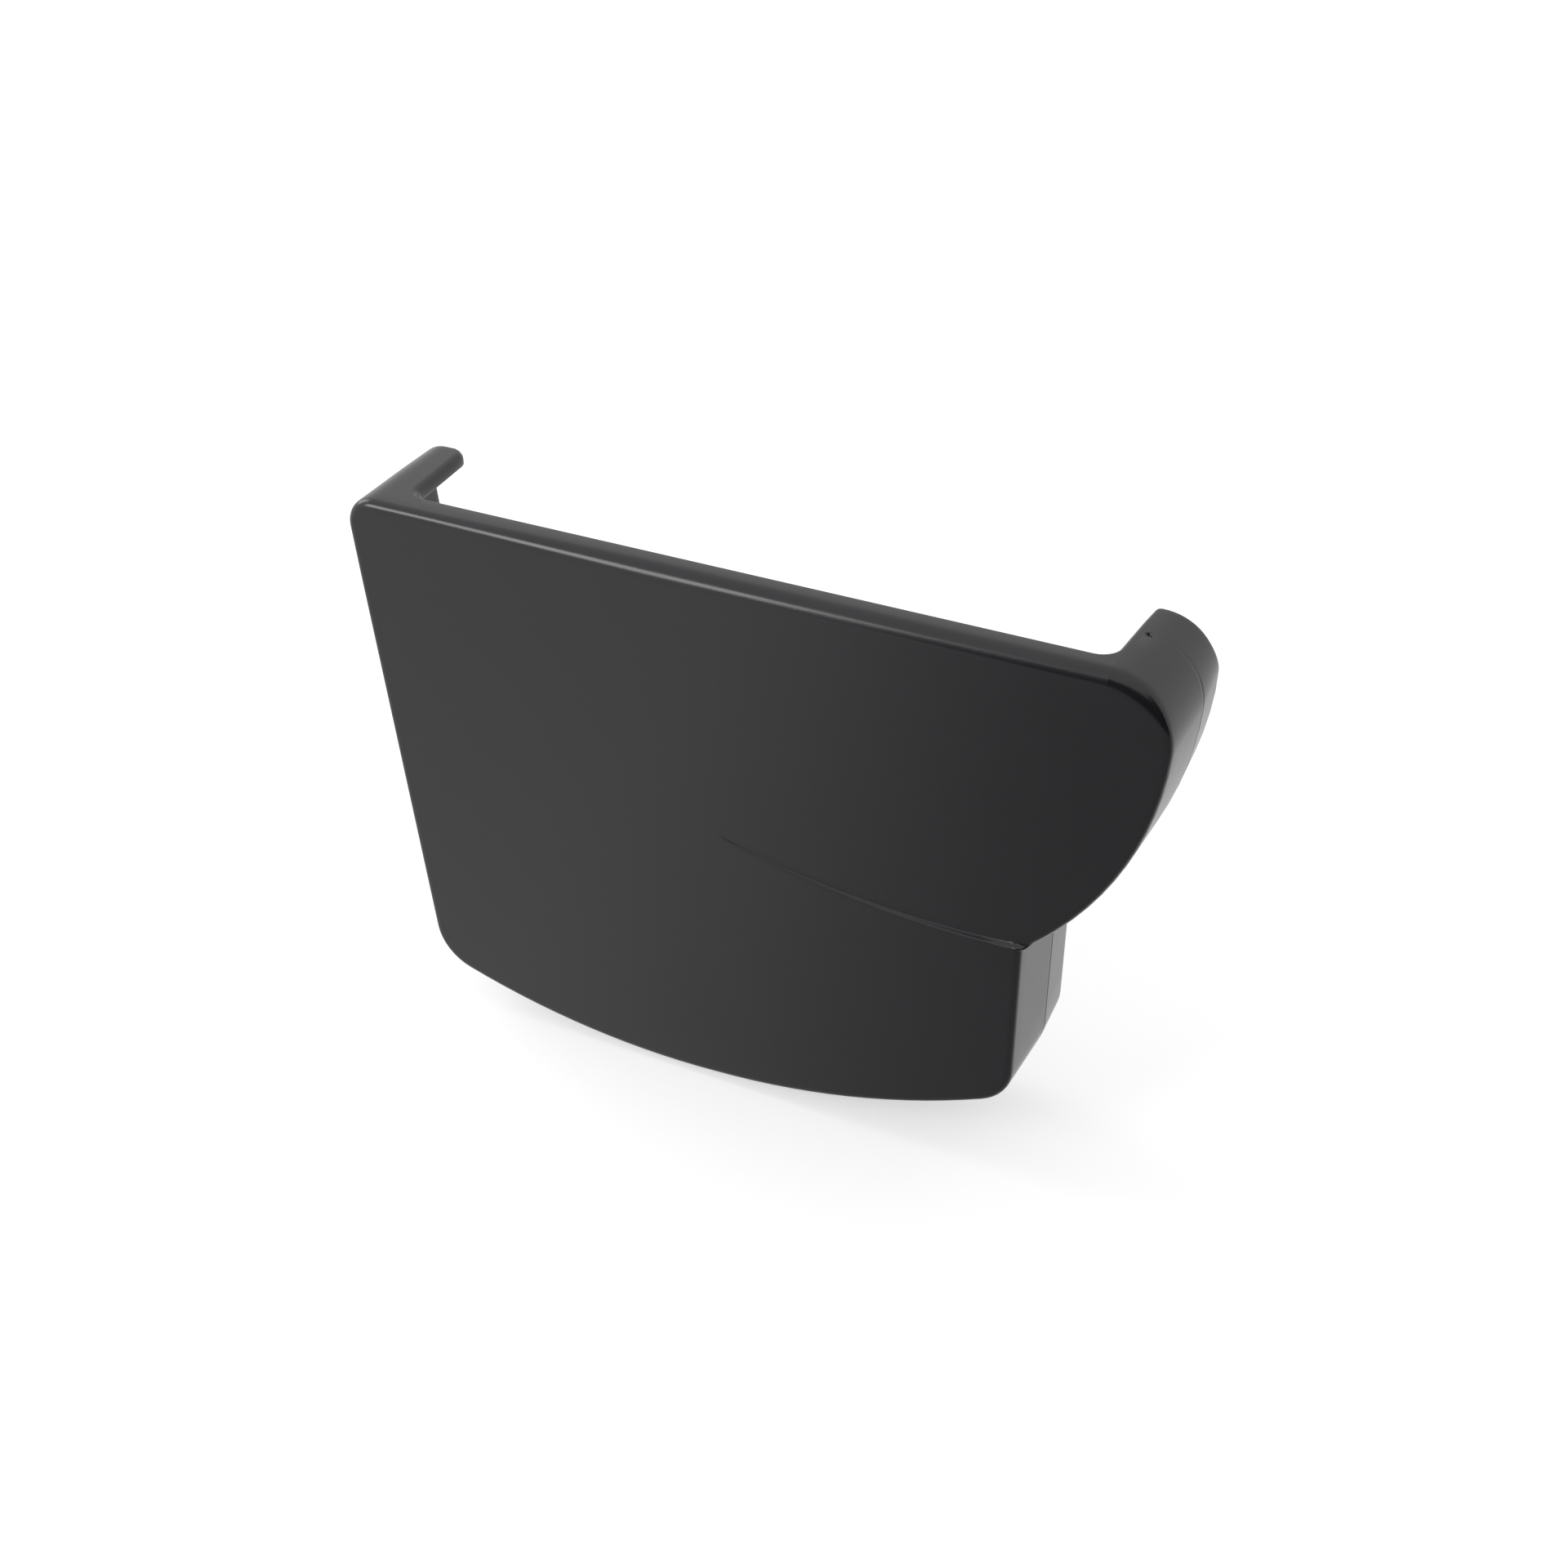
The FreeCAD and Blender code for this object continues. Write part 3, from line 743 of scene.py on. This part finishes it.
def fill_face(row):
    """Triangles over the face, inside the first row of its rounding."""
    loop = [(p[0], p[2]) for p in row]
    points = list(loop)
    for some, margin in ((crease_points(), 0.35), (grid_points(), 2.0), (facet_start_points(), 1.5)):
        points += [p for p in some if inside(p, loop, margin)]
    count = len(loop)
    edges = [(i, (i + 1) % count) for i in range(count)]
    found = delaunay_2d_cdt([Vector(p) for p in points], edges, [], 1, 1e-5)
    verts = [cap.verts.new((p.x * MM, (-PLATE - face_height(p.x, p.y)) * MM, p.y * MM)) for p in found[0]]
    for face in found[2]:
        cap.faces.new([verts[i] for i in face])
    return len(found[2])


print("triangles on the face:", fill_face(face_rows[0]))

# %% [markdown]
# Inside, the gutter's end slides in until it stops against the plate. A smaller rounding joins
# that flat floor and the walls, as a mould's core has no sharp edges. It is made in the same way
# as the outer one, and its first row is also the edge of the floor, which is one flat face.

# %% Inner sheet and floor
def floor_rounding(lip):
    """Rows from the flat floor inside to the skirt's inner wall."""
    rows = []
    for angle, beyond in [(0.0, BEYOND)] + [(angle, 0.0) for angle in spread(6, 0.0, QUARTER)]:
        y = FLOOR_ROUND * (1 - math.cos(angle))
        cut = FLOOR_ROUND * (1 - math.sin(angle)) + beyond
        rows.append(closed_row("inner", lip, y, wall_inset("inner", FLOOR_ROUND), cut))
    return rows


floor_edge = add_sheet("inner", INNER_ROUND, floor_rounding(INNER_ROUND), [RIM_Y - INNER_ROUND])
cap.faces.new(floor_edge)
print("faces outside and inside:", len(cap.faces))

# %% [markdown]
# The lip closes the gap between the two sheets. The real one has a rounding outside, where the
# hand feels it, the flat edge of the wall, and a very small rounding inside. A bevel on the
# mouth's edges could make it, but its width would be the same all round. Here each column has its
# own width, and the back hook's inner edge gets the wider lip that it has in the photograph.

# %% Lip
def towards(first, last, distance):
    """The point at a distance from the first one, on the way to the last one."""
    part = distance / math.dist(first, last)
    return tuple(between(a, b, part) for a, b in zip(first, last))


def lip_widths():
    """How much wider the lip is in each column of the free edge."""
    outer = zip(free_edge("outer", 0.0), free_edge("outer", 1.0))
    inner = zip(free_edge("inner", 0.0), free_edge("inner", 1.0))
    return [math.dist(*p) / math.dist(*q) for p, q in zip(outer, inner)]


def lip_rows():
    """Rows over the outer rounding, the wall's edge and the inner rounding."""
    widths = lip_widths()
    rows = []
    for angle in spread(7, 0.0, QUARTER):
        lip, depth = LIP_ROUND * (1 - math.sin(angle)), LIP_ROUND * (1 - math.cos(angle))
        pairs = zip(free_edge("outer", lip), free_edge("inner", lip), widths)
        rows.append([towards(p, q, depth * width) for p, q, width in pairs])
    for angle in spread(4, QUARTER, 0.0):
        lip, depth = INNER_ROUND * (1 - math.sin(angle)), INNER_ROUND * (1 - math.cos(angle))
        rows.append([towards(q, p, depth) for p, q in zip(free_edge("outer", lip), free_edge("inner", lip))])
    return rows


add_rows(lip_rows(), closed=True)
widths = [round(LIP_ROUND * width, 2) for width in lip_widths()]
print("narrowest and widest lip:", min(widths), max(widths))

# %% [markdown]
# The surfaces are still loose patches that lie edge to edge. Points in the same place are joined,
# and faces that shrank to a line where columns end are taken out. A remesh would close the skin
# too, but it would lose the rows.

# %% Joining the surfaces
bmesh.ops.remove_doubles(cap, verts=cap.verts, dist=0.002 * MM)
bmesh.ops.dissolve_degenerate(cap, edges=cap.edges, dist=0.0005 * MM)
print("edges without two faces:", sum(not e.is_manifold for e in cap.edges))

# %% [markdown]
# An ejector pin pushed the part out of the mould and left a small round mark on the front hook.
# A dark dot in the material would look painted on, because it doesn't catch the light. So the
# faces round that place are divided, twice because the first cut leaves them too coarse, and then
# pressed in a little. The mark is real geometry in the same closed mesh.

# %% Mark of the ejector pin
PIN_X, PIN_Y, PIN_RADIUS, PIN_DEPTH = 151.1, 12.0, 0.75, 0.4
PIN_CENTRE = Vector((PIN_X, PIN_Y, 0.0)) * MM
PIN_SLOPE = 2.5
# how far round the mark the faces are divided, and into how many cuts, for both times
DIVISIONS = (1.6, 2), (1.2, 3)


def from_pin(point):
    return (point - PIN_CENTRE).length / MM


for reach, cuts in DIVISIONS:
    near = [f for f in cap.faces if from_pin(f.calc_center_median()) < reach]
    near_edges = list({e for f in near for e in f.edges})
    bmesh.ops.subdivide_edges(cap, edges=near_edges, cuts=cuts, use_grid_fill=True)
pressed = [v for v in cap.verts if from_pin(v.co) < PIN_RADIUS]
for vert in pressed:
    share = 1.0 - from_pin(vert.co) / PIN_RADIUS
    vert.co.z -= PIN_DEPTH * MM * min(1.0, PIN_SLOPE * share) ** 2
print("points pressed in:", len(pressed))

# %% [markdown]
# The front hook ends two millimetres short of the skirt's mouth, and the edge runs back to the
# full depth round the corner. A Boolean could cut the end off, but it would take the rounded lip
# with it. The walls are nearly parallel to y there, so it is enough to draw the points of that
# corner together along y.

# %% Shorter front hook
HOOK_FROM_Y, HOOK_SHORTER = 16.0, 2.0
HOOK_FROM_X = 140.0
FULL_LENGTH_Z, SHORTEST_Z = -13.0, -4.0

moved = 0
for vert in cap.verts:
    x, y, z = vert.co / MM
    share = eased(progress(z, FULL_LENGTH_Z, SHORTEST_Z))
    if x > HOOK_FROM_X and y > HOOK_FROM_Y and share > 0.0:
        shrink = share * HOOK_SHORTER / (MOUTH_Y - HOOK_FROM_Y)
        vert.co.y = between(y, HOOK_FROM_Y, shrink) * MM
        moved += 1
print("points of the front hook drawn back:", moved)

# %% [markdown]
# Now the mesh becomes the piece. The real cap is one closed body without loose parts, so its
# faces are turned outwards and every edge has to have two faces, which the count below checks.
# Smooth shading alone would smear the light over real edges. Those are marked by their angle and
# stay sharp.

# %% The moulding
bmesh.ops.recalc_face_normals(cap, faces=cap.faces)
print("faces", len(cap.faces), "open edges", sum(not e.is_manifold for e in cap.edges),
      "volume in mm3", round(cap.calc_volume() / MM ** 3))
cap_mesh = bpy.data.meshes.new("cap_moulding")
cap.to_mesh(cap_mesh)
cap.free()
cap_mesh.shade_smooth()
cap_mesh.set_sharp_from_angle(angle=math.radians(35))

moulding = bpy.data.objects.new("cap_moulding", cap_mesh)
bpy.context.scene.collection.objects.link(moulding)
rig.replaces(moulding, "end_cap")
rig.ride(moulding, "root")
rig.slot(moulding, "anthracite_pvc")

# %% [markdown]
# A finish is a network of nodes. It can be laid out by hand in the shader editor, but a script
# can be read and repeated. Colours are written as the hex values that a designer would pick on
# screen, and one function turns them to the linear light that the shader needs. Another adds a
# node with its settings and links, which keeps each material readable as a list of steps.

# %% Helpers for materials
def hex_colour(code):
    """Linear RGBA of a colour written as #rrggbb."""
    parts = [int(code[i:i + 2], 16) / 255 for i in (1, 3, 5)]
    linear = [v / 12.92 if v <= 0.04045 else ((v + 0.055) / 1.055) ** 2.4 for v in parts]
    return (*linear, 1.0)


def add_node(tree, kind, settings=None, **inputs):
    """Adds a node with its settings. An input is named, or numbered as in i0, and set or linked."""
    node = tree.nodes.new(kind)
    for name, value in (settings or {}).items():
        setattr(node, name, value)
    for name, value in inputs.items():
        numbered = name[0] == "i" and name[1:].isdigit()
        socket = node.inputs[int(name[1:]) if numbered else name.replace("_", " ")]
        if isinstance(value, bpy.types.NodeSocket):
            tree.links.new(value, socket)
        else:
            socket.default_value = value
    return node


def new_material(name):
    material = bpy.data.materials.new(name)
    material.use_nodes = True
    material.node_tree.nodes.clear()
    return material, material.node_tree


print("middle grey in linear light:", round(hex_colour("#808080")[0], 3))

# %% [markdown]
# The cap is moulded PVC, coloured right through in anthracite. What the eye reads is a dark,
# nearly neutral colour with a very slight blue, and a satin skin that mirrors pale surroundings
# softly, more at grazing angles. Steel moulds leave a fine even grain, and the melt leaves faint
# flow clouds in the gloss. An image could show them, but it would have to be stretched over the
# piece. So both are drawn with noise on Object coordinates, sized from real millimetres: grain of
# about 0.25 mm and clouds of about 18 mm. PVC's index of refraction is 1.53, and a satin moulding
# has a roughness of about 0.2.

# %% Moulded PVC
CLOUD_SIZE, GRAIN_SIZE, GRAIN_HEIGHT = 18 * MM, 0.25 * MM, 0.01 * MM
PVC_DARK, PVC_LIGHT = hex_colour("#1e1e21"), hex_colour("#232327")


def moulded_pvc():
    """Anthracite PVC with flow clouds in its gloss and the mould's fine grain."""
    material, tree = new_material("moulded_pvc_anthracite")
    place = add_node(tree, "ShaderNodeTexCoord").outputs["Object"]
    clouds = add_node(tree, "ShaderNodeTexNoise", Vector=place,
                      Scale=1 / CLOUD_SIZE, Detail=3.0, Roughness=0.55)
    grain = add_node(tree, "ShaderNodeTexNoise", Vector=place,
                     Scale=1 / GRAIN_SIZE, Detail=1.0, Roughness=0.5)
    tint = add_node(tree, "ShaderNodeMix", {"data_type": "RGBA"}, Factor=clouds.outputs["Fac"],
                    i6=PVC_DARK, i7=PVC_LIGHT)
    gloss = add_node(tree, "ShaderNodeMapRange", Value=clouds.outputs["Fac"], From_Min=0.3, From_Max=0.7,
                     To_Min=0.19, To_Max=0.24)
    relief = add_node(tree, "ShaderNodeBump", Height=grain.outputs["Fac"],
                      Strength=0.25, Distance=GRAIN_HEIGHT)
    skin = add_node(tree, "ShaderNodeBsdfPrincipled", Base_Color=tint.outputs[2],
                    Roughness=gloss.outputs["Result"], Normal=relief.outputs["Normal"], IOR=1.53)
    add_node(tree, "ShaderNodeOutputMaterial", Surface=skin.outputs["BSDF"])
    return material


moulding.data.materials.append(moulded_pvc())
print("material:", moulding.data.materials[0].name)

# %% [markdown]
# The photograph shows the cap cut out on white, and white cloth is mirrored in its sides and top.
# A strong white world gives such a ground too, but it also washes out the plastic. So the world
# tells the rays apart: it is white to the camera, nearly white in mirror images, and weaker as a
# light.

# %% White world
def white_to_camera(tree, plain, white):
    """Shows the plain value to light rays and the white one to the camera and through glass."""
    path = add_node(tree, "ShaderNodeLightPath")
    seen = add_node(tree, "ShaderNodeMath", {"operation": "MAXIMUM"},
                    i0=path.outputs["Is Camera Ray"], i1=path.outputs["Is Transmission Ray"])
    mapped = add_node(tree, "ShaderNodeMapRange", Value=seen.outputs[0], To_Min=plain, To_Max=white)
    return mapped.outputs["Result"]


def white_world():
    """White to the camera, nearly white in mirror images, weaker as a light."""
    world = bpy.data.worlds.new("white_studio")
    world.use_nodes = True
    tree = world.node_tree
    tree.nodes.clear()
    light = white_to_camera(tree, 0.6, 1.0)
    path = add_node(tree, "ShaderNodeLightPath")
    level = add_node(tree, "ShaderNodeMix", {"data_type": "FLOAT"},
                     i0=path.outputs["Is Glossy Ray"], i2=light, i3=0.93)
    sky = add_node(tree, "ShaderNodeBackground", Color=(1.0, 1.0, 1.0, 1.0), Strength=level.outputs[0])
    add_node(tree, "ShaderNodeOutputWorld", Surface=sky.outputs[0])
    return world


bpy.context.scene.world = white_world()
print("world:", bpy.context.scene.world.name)

# %% [markdown]
# The cap lies in a soft tent whose front is open. Its face gets darker towards the front right,
# and that darkening is painted shade in the floor's reflection. A plain white floor can't show it,
# and a grey one would be grey to the camera too. So the floor is white to the camera and keeps the
# object's shadow, but the plastic mirrors a painted reflection in its place. It is white behind
# the face, and in front of it falls off from nearly white at the left to grey at the front right.

# %% Floor
FLOOR_Z = cad_box[0][2] - 0.0005
FLOOR_HALF = 3.0
CORNERS = (-1, -1), (1, -1), (1, 1), (-1, 1)
# the painted reflection in the plastic: its brightness, and in metres where it changes across and behind
PAINTED_BRIGHT, PAINTED_SHADE, PAINTED_BEHIND = 0.86, 0.34, 0.9
PAINTED_BRIGHT_END, PAINTED_SHADE_START, SLANT = 0.015, 0.15, -0.22
FRONT_END_Y, BEHIND_START_Y = -0.015, 0.02


def painted_floor_reflection(tree):
    """Brightness of the painted reflection that the plastic mirrors in place of the floor."""
    coordinates = add_node(tree, "ShaderNodeTexCoord")
    place = add_node(tree, "ShaderNodeSeparateXYZ", Vector=coordinates.outputs["Object"])
    slant = add_node(tree, "ShaderNodeMath", {"operation": "MULTIPLY_ADD"},
                     i0=place.outputs["Y"], i1=SLANT, i2=place.outputs["X"])
    smooth = {"interpolation_type": "SMOOTHSTEP"}
    across = add_node(tree, "ShaderNodeMapRange", smooth, Value=slant.outputs[0],
                      From_Min=PAINTED_BRIGHT_END, From_Max=PAINTED_SHADE_START, To_Min=PAINTED_BRIGHT, To_Max=PAINTED_SHADE)
    behind = add_node(tree, "ShaderNodeMapRange", smooth, Value=place.outputs["Y"],
                      From_Min=FRONT_END_Y, From_Max=BEHIND_START_Y, To_Min=0.0, To_Max=1.0)
    both = add_node(tree, "ShaderNodeMix", {"data_type": "FLOAT"},
                    i0=behind.outputs[0], i2=across.outputs[0], i3=PAINTED_BEHIND)
    return both.outputs[0]


def floor_with_painted_reflection():
    """White floor to the camera and to light, with a painted reflection that falls off to grey towards the front
    right.
    """
    material, tree = new_material("white_floor_with_painted_reflection")
    diffuse = add_node(tree, "ShaderNodeBsdfDiffuse", Color=(0.8, 0.8, 0.8, 1.0))
    lift = add_node(tree, "ShaderNodeEmission", Strength=white_to_camera(tree, 0.0, 0.55))
    paper = add_node(tree, "ShaderNodeAddShader", i0=diffuse.outputs[0], i1=lift.outputs[0])
    # the emission that only mirror rays see is a painted reflection: painted shade that darkens the face towards the
    # front right
    painted_image = add_node(tree, "ShaderNodeEmission", Strength=painted_floor_reflection(tree))
    path = add_node(tree, "ShaderNodeLightPath")
    both = add_node(tree, "ShaderNodeMixShader",
                    i0=path.outputs["Is Glossy Ray"], i1=paper.outputs[0], i2=painted_image.outputs[0])
    add_node(tree, "ShaderNodeOutputMaterial", Surface=both.outputs[0])
    return material


def flat_piece(name, corners, material):
    """A flat sheet of the studio, which isn't part of the object."""
    mesh = bpy.data.meshes.new(name)
    mesh.from_pydata(corners, [], [tuple(range(len(corners)))])
    mesh.materials.append(material)
    sheet = bpy.data.objects.new(name, mesh)
    bpy.context.scene.collection.objects.link(sheet)
    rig.stage(sheet)


flat_piece("floor", [(x * FLOOR_HALF, y * FLOOR_HALF, FLOOR_Z) for x, y in CORNERS], floor_with_painted_reflection())
print("floor at", round(FLOOR_Z, 4))

# %% [markdown]
# The open front of the tent is a black panel that stands behind the camera, and a second one
# closes the right side towards the room. A darker world could stand in for them, but it would
# darken the whole cap. The panels give the dark band on the rounding at the top right and round
# its corner only, where the plastic mirrors the dark room. To a camera that looks at them from
# behind the cap, they are white too.

# %% Dark front of the tent
PANEL_Y, PANEL_X = -0.75, 0.9
PANEL_LEFT_X, PANEL_END_Y = -0.14, -0.1
PANEL_LOW, PANEL_HIGH, PANEL_LEFT_HIGH = -0.2, 0.8, 0.45


def black_cloth():
    """Black cloth that is white to the camera."""
    material, tree = new_material("black_cloth")
    cloth = add_node(tree, "ShaderNodeBsdfDiffuse", Color=hex_colour("#101010"))
    white = add_node(tree, "ShaderNodeEmission")
    seen = add_node(tree, "ShaderNodeMixShader",
                    i0=white_to_camera(tree, 0.0, 1.0), i1=cloth.outputs[0], i2=white.outputs[0])
    add_node(tree, "ShaderNodeOutputMaterial", Surface=seen.outputs[0])
    return material


cloth = black_cloth()
flat_piece("open_front", [(PANEL_LEFT_X, PANEL_Y, PANEL_LOW), (PANEL_X, PANEL_Y, PANEL_LOW),
                          (PANEL_X, PANEL_Y, PANEL_HIGH), (PANEL_LEFT_X, PANEL_Y, PANEL_LEFT_HIGH)], cloth)
flat_piece("open_side", [(PANEL_X, PANEL_Y, PANEL_LOW), (PANEL_X, PANEL_END_Y, PANEL_LOW),
                         (PANEL_X, PANEL_END_Y, PANEL_HIGH), (PANEL_X, PANEL_Y, PANEL_HIGH)], cloth)
print("panel behind the camera by", round(CAMERA_PLACE.y - PANEL_Y, 2), "m")

# %% [markdown]
# A soft box above the front left draws the bright line along the rounding of the top, and stops
# where the line fades in the photograph. A sun would be simpler, but its line would run the whole
# length of the top. A weaker soft box at the left fills the shadow.

# %% Studio light
LIT_POINT = Vector((0.07, 0.0, -0.04))


def soft_box(name, place, size, power):
    """An area light that faces the cap."""
    data = bpy.data.lights.new(name, "AREA")
    data.shape = "RECTANGLE"
    data.size, data.size_y = size
    data.energy = power
    lamp = bpy.data.objects.new(name, data)
    lamp.location = place
    lamp.rotation_euler = (LIT_POINT - Vector(place)).to_track_quat("-Z", "Y").to_euler()
    bpy.context.scene.collection.objects.link(lamp)


soft_box("key_above_front_left", (-0.50, -0.78, 0.45), (0.50, 0.40), 3.4)
soft_box("fill_left", (-0.9, 0.1, 0.5), (0.6, 0.6), 3.0)
bpy.context.scene.view_settings.view_transform = "Standard"
print("lamps", [o.name for o in bpy.context.scene.objects if o.type == "LIGHT"])

# %% [markdown] Last, the sizes of the measured solid and of the moulding in this scene are
# written down side by side, because a slip in the mesh shows there first. They could be compared
# by eye, but numbers are surer.

# %% Sizes
json.dump({"cad": [list(v) for v in cad_box], "visual": [list(v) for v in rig.bounds()]},
          open("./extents.json", "w"))
print(open("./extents.json").read())
